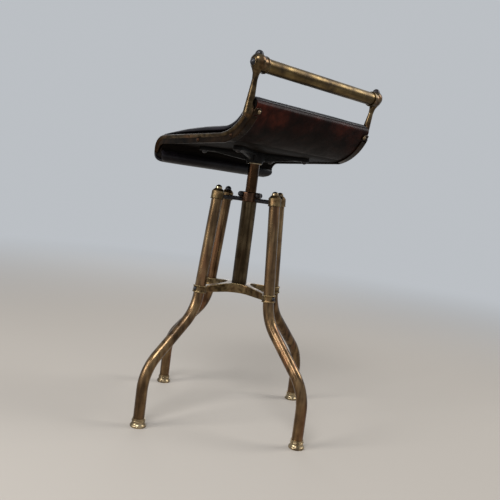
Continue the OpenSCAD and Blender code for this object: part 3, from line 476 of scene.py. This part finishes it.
oxblood = bpy.data.materials.new("oxblood")
oxblood.use_nodes = True
ox_nodes, ox_links = oxblood.node_tree.nodes, oxblood.node_tree.links
ox_shader = ox_nodes["Principled BSDF"]
ox_shader.inputs["Specular IOR Level"].default_value = 0.06
ox_shader.inputs["IOR"].default_value = 1.4
ox_place = ox_nodes.new("ShaderNodeTexCoord").outputs["Object"]
ox_patches = noise_on(ox_nodes, ox_links, ox_place, 30, 7, 0.8)
ox_clouds = noise_on(ox_nodes, ox_links, ox_place, 11, 4, 0.4)
ox_dark = tone_ramp(ox_nodes, [(0.36, (0.0035, 0.0018, 0.0014)), (0.56, (0.0075, 0.0032, 0.0023)),
                               (0.72, (0.016, 0.0055, 0.0036))])
ox_links.new(ox_patches, ox_dark.inputs["Fac"])
ox_red = tone_ramp(ox_nodes, [(0.34, (0.012, 0.0040, 0.0030)), (0.52, (0.032, 0.0080, 0.0052)),
                              (0.68, (0.072, 0.0160, 0.0095))])
ox_links.new(ox_patches, ox_red.inputs["Fac"])
ox_height = ox_nodes.new("ShaderNodeSeparateXYZ")
ox_links.new(ox_place, ox_height.inputs[0])
ox_up_and_down = ox_height.outputs["Z"]
facing_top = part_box("back_facing")[1][2]
# Redder towards the top, and nearly black lower down.
redder_from, redder_to = facing_top - 0.062, facing_top - 0.012
black_below, red_above = facing_top - 0.085, facing_top - 0.035
fold_highlight_from, fold_highlight_to = facing_top - 0.006, facing_top - 0.001
ox_up = spread(ox_nodes, ox_links, ox_up_and_down, redder_from, redder_to, 0.0, 0.62)
ox_cloud_share = spread(ox_nodes, ox_links, ox_clouds, 0.35, 0.65, -0.38, 0.38)
ox_redder = combined(ox_nodes, ox_links, "ADD", ox_up, ox_cloud_share, clamped=True)
ox_reach = spread(ox_nodes, ox_links, ox_up_and_down, black_below, red_above, 0.0, 1.0)
ox_share = combined(ox_nodes, ox_links, "MULTIPLY", ox_redder, ox_reach, clamped=True)
ox_tone = mixed(ox_nodes, ox_links, ox_share, ox_dark.outputs["Color"], ox_red.outputs["Color"])
# Painted highlight: a pale grey line along the folded top edge.
ox_fold_highlight = spread(ox_nodes, ox_links, ox_up_and_down, fold_highlight_from, fold_highlight_to, 0.0, 0.6)
ox_tone = mixed(ox_nodes, ox_links, ox_fold_highlight, ox_tone, (0.030, 0.024, 0.025))
ox_links.new(ox_tone, ox_shader.inputs["Base Color"])
ox_links.new(spread(ox_nodes, ox_links, ox_patches, 0.3, 0.7, 0.42, 0.28), ox_shader.inputs["Roughness"])
grained_hide(ox_nodes, ox_links, ox_shader, ox_place, ox_clouds)

facing = smoothed("back_facing", "seat", oxblood, angle=50)
facing_low, facing_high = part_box("back_facing")
facing_square = 0.005
dent_depth = 0.00035
broad_dents = 34
small_dents = 80
outer_share = 0.2
cut_across(facing, 0, facing_low[0], facing_high[0], facing_square)
cut_across(facing, 2, facing_low[2], facing_high[2], facing_square)
facing_normals = [corner.normal.copy() for corner in facing.data.vertices]
for corner, outward in zip(facing.data.vertices, facing_normals):
    if outward.y > outer_share or outward.z < -outer_share:
        dent = noise.noise(corner.co * broad_dents) + 0.5 * noise.noise(corner.co * small_dents)
        corner.co += outward * (dent_depth * dent)

# Seat pad: black leather over horsehair, drawn down at its sides under the brackets' bead and glossy
# with use. The stuffing is a pressure inside a cloth, and the leather stays where it is glued to the
# board. Its free part is then smoothed, as a tight cover lies.
black_hide = bpy.data.materials.new("black_hide")
black_hide.use_nodes = True
hide_nodes, hide_links = black_hide.node_tree.nodes, black_hide.node_tree.links
hide_shader = hide_nodes["Principled BSDF"]
hide_shader.inputs["Specular IOR Level"].default_value = 0.24
hide_shader.inputs["IOR"].default_value = 1.4
hide_place = hide_nodes.new("ShaderNodeTexCoord").outputs["Object"]
hide_patches = noise_on(hide_nodes, hide_links, hide_place, 16, 7, 0.8)
hide_wear = noise_on(hide_nodes, hide_links, hide_place, 55, 6, 1.0)
hide_tones = tone_ramp(hide_nodes, [(0.34, (0.004, 0.0035, 0.0045)), (0.54, (0.009, 0.0075, 0.0095)),
                                    (0.72, (0.020, 0.0165, 0.0215))])
hide_links.new(hide_patches, hide_tones.inputs["Fac"])
hide_brown = spread(hide_nodes, hide_links, hide_wear, 0.56, 0.74, 0.0, 0.5)
hide_tone = mixed(hide_nodes, hide_links, hide_brown, hide_tones.outputs["Color"], (0.022, 0.012, 0.010))
hide_links.new(hide_tone, hide_shader.inputs["Base Color"])
hide_gloss = spread(hide_nodes, hide_links, hide_patches, 0.3, 0.7, 0.44, 0.27)
hide_links.new(hide_gloss, hide_shader.inputs["Roughness"])
grained_hide(hide_nodes, hide_links, hide_shader, hide_place, hide_patches)

pad = smoothed("seat_pad", "seat", black_hide, angle=180)
bpy.ops.object.mode_set(mode="EDIT")
bpy.ops.mesh.select_all(action="SELECT")
bpy.ops.mesh.tris_convert_to_quads()
bpy.ops.object.mode_set(mode="OBJECT")
finer = pad.modifiers.new("finer", "SUBSURF")
finer.levels = finer.render_levels = 2
bpy.ops.object.modifier_apply(modifier=finer.name)
bpy.ops.object.shade_smooth()
glue_reach = 0.003
free_reach = 0.006
side_margin = 0.004
side_reach = 0.022
most_rise = 0.0025
last_step = 20
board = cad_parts["seat_shell"]
board_skin = BVHTree.FromPolygons([corner.co for corner in board.data.vertices],
                                  [tuple(face.vertices) for face in board.data.polygons])
glued = pad.vertex_groups.new(name="glued")
pad_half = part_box("seat_pad")[1][0]
start_places = [corner.co.copy() for corner in pad.data.vertices]
start_normals = [corner.normal.copy() for corner in pad.data.vertices]
freedom = []
for corner in pad.data.vertices:
    height = board_skin.find_nearest(corner.co)[3]
    lift = min(max((height - glue_reach) / free_reach, 0.0), 1.0)
    inboard = min(max((pad_half - side_margin - abs(corner.co.x)) / side_reach, 0.0), 1.0)
    freedom.append(lift * inboard)
    if freedom[-1] < 1.0:
        glued.add([corner.index], 1.0 - freedom[-1], "REPLACE")
stuffing = pad.modifiers.new("stuffing", "CLOTH")
stuffing.settings.quality = 6
stuffing.settings.mass = 0.4
stuffing.settings.tension_stiffness = stuffing.settings.compression_stiffness = 30
stuffing.settings.shear_stiffness = 12
stuffing.settings.bending_stiffness = 6
stuffing.settings.use_pressure = True
stuffing.settings.uniform_pressure_force = 3
stuffing.settings.shrink_min = -0.004
stuffing.settings.vertex_group_mass = "glued"
stuffing.settings.pin_stiffness = 1
stuffing.settings.effector_weights.gravity = 0
stuffing.collision_settings.use_collision = False
stuffing.collision_settings.use_self_collision = False
for step in range(1, last_step + 1):
    bpy.context.scene.frame_set(step)
pick(pad)
bpy.ops.object.modifier_apply(modifier=stuffing.name)
bpy.context.scene.frame_set(1)
for corner, start, outward, free in zip(pad.data.vertices, start_places, start_normals, freedom):
    move = corner.co - start
    most = most_rise * free
    if move.length > most:
        move = move.normalized() * most
    corner.co = start + move
loose = pad.vertex_groups.new(name="loose")
for corner, free in zip(pad.data.vertices, freedom):
    if free:
        loose.add([corner.index], free, "REPLACE")
pressed = pad.modifiers.new("pressed", "SMOOTH")
pressed.factor = 0.5
pressed.iterations = 24
pressed.vertex_group = "loose"
bpy.ops.object.modifier_apply(modifier=pressed.name)
rounder = pad.modifiers.new("rounder", "SUBSURF")
rounder.levels = rounder.render_levels = 1
bpy.ops.object.modifier_apply(modifier=rounder.name)
bpy.ops.object.shade_smooth()

# Side brackets: cast brass, screwed to the shell's sides, with the uprights that carry the back rail.
# Below the uprights and inside the beads they are dark brown: grime together with painted shade, and the
# shade is painted darkest at the front curls. The beads, uprights and balls are rubbed to an olive brass,
# and on the beads this lighter colour is also a painted highlight.
bracket_brass = aged_brass("bracket_brass", (0.150, 0.108, 0.057), (0.074, 0.051, 0.027),
                           (0.026, 0.017, 0.010), 0.28, flush_share=0.35, along=(1, 1, 1), edges=0.5)
bb_nodes, bb_links = bracket_brass.node_tree.nodes, bracket_brass.node_tree.links
bb_shader = bb_nodes["Principled BSDF"]
bb_bright = bb_shader.inputs["Base Color"].links[0].from_socket
bb_place = bb_nodes.new("ShaderNodeTexCoord").outputs["Object"]
bb_axes = bb_nodes.new("ShaderNodeSeparateXYZ")
bb_links.new(bb_place, bb_axes.inputs[0])
bead_from, bead_to = 0.1618, 0.1634
upright_from, upright_to = 0.592, 0.640
bracket_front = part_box("bracket_left")[0][1]
# Painted shade: the brackets go dark over this span behind their front ends.
front_shade_from, front_shade_to = bracket_front + 0.008, bracket_front + 0.034
bb_out = combined(bb_nodes, bb_links, "ABSOLUTE", bb_axes.outputs["X"])
bb_bead = spread(bb_nodes, bb_links, bb_out, bead_from, bead_to, 0.0, 1.0)
bb_upright = spread(bb_nodes, bb_links, bb_axes.outputs["Z"], upright_from, upright_to, 0.0, 1.0)
bb_bead_or_upright = combined(bb_nodes, bb_links, "MAXIMUM", bb_bead, bb_upright)
bb_out_of_front_shade = spread(bb_nodes, bb_links, bb_axes.outputs["Y"], front_shade_from, front_shade_to, 0.0, 1.0)
bb_rubbed_and_lit = combined(bb_nodes, bb_links, "MULTIPLY", bb_bead_or_upright, bb_out_of_front_shade)
bb_grime = noise_on(bb_nodes, bb_links, bb_place, 40, 6, 0.5)
# Dark brown of grime and painted shade, laid where there is neither bead nor upright, and over the front
# curls.
bb_grime_and_shade = tone_ramp(bb_nodes, [(0.34, (0.006, 0.004, 0.003)), (0.54, (0.018, 0.0105, 0.006)),
                               (0.72, (0.046, 0.024, 0.011))])
bb_links.new(bb_grime, bb_grime_and_shade.inputs["Fac"])
bb_tone = mixed(bb_nodes, bb_links, bb_rubbed_and_lit, bb_grime_and_shade.outputs["Color"], bb_bright)
bb_links.new(bb_tone, bb_shader.inputs["Base Color"])
for bracket in ("bracket_left", "bracket_right"):
    cast(bracket, "seat", bracket_brass, 0.0008, 4)
smoothed("bracket_screws", "seat", copper_brown)
smoothed("lug_screws", "seat", rubbed_brass)

# Back rail: a brass tube in the brackets' sleeves, plugged inside its ends. A dome screw goes through
# each ball into a plug, and a black nut sits on each ball. Hands have left the tube olive, with
# darker and redder patches along it.
rail_brass = aged_brass("rail_brass", (0.220, 0.155, 0.062), (0.115, 0.077, 0.031),
                        (0.040, 0.026, 0.014), 0.37,
                        flush=(0.13, 0.068, 0.036), flush_share=0.6, along=(0.08, 1, 1))
smoothed("back_rail", "seat", rail_brass)
smoothed("rail_plugs", "seat", black_steel)
smoothed("rail_screws", "seat", black_steel)
smoothed("ball_nuts", "seat", black_steel)

# End: colours are shown as they are written.
bpy.context.scene.view_settings.view_transform = "Standard"
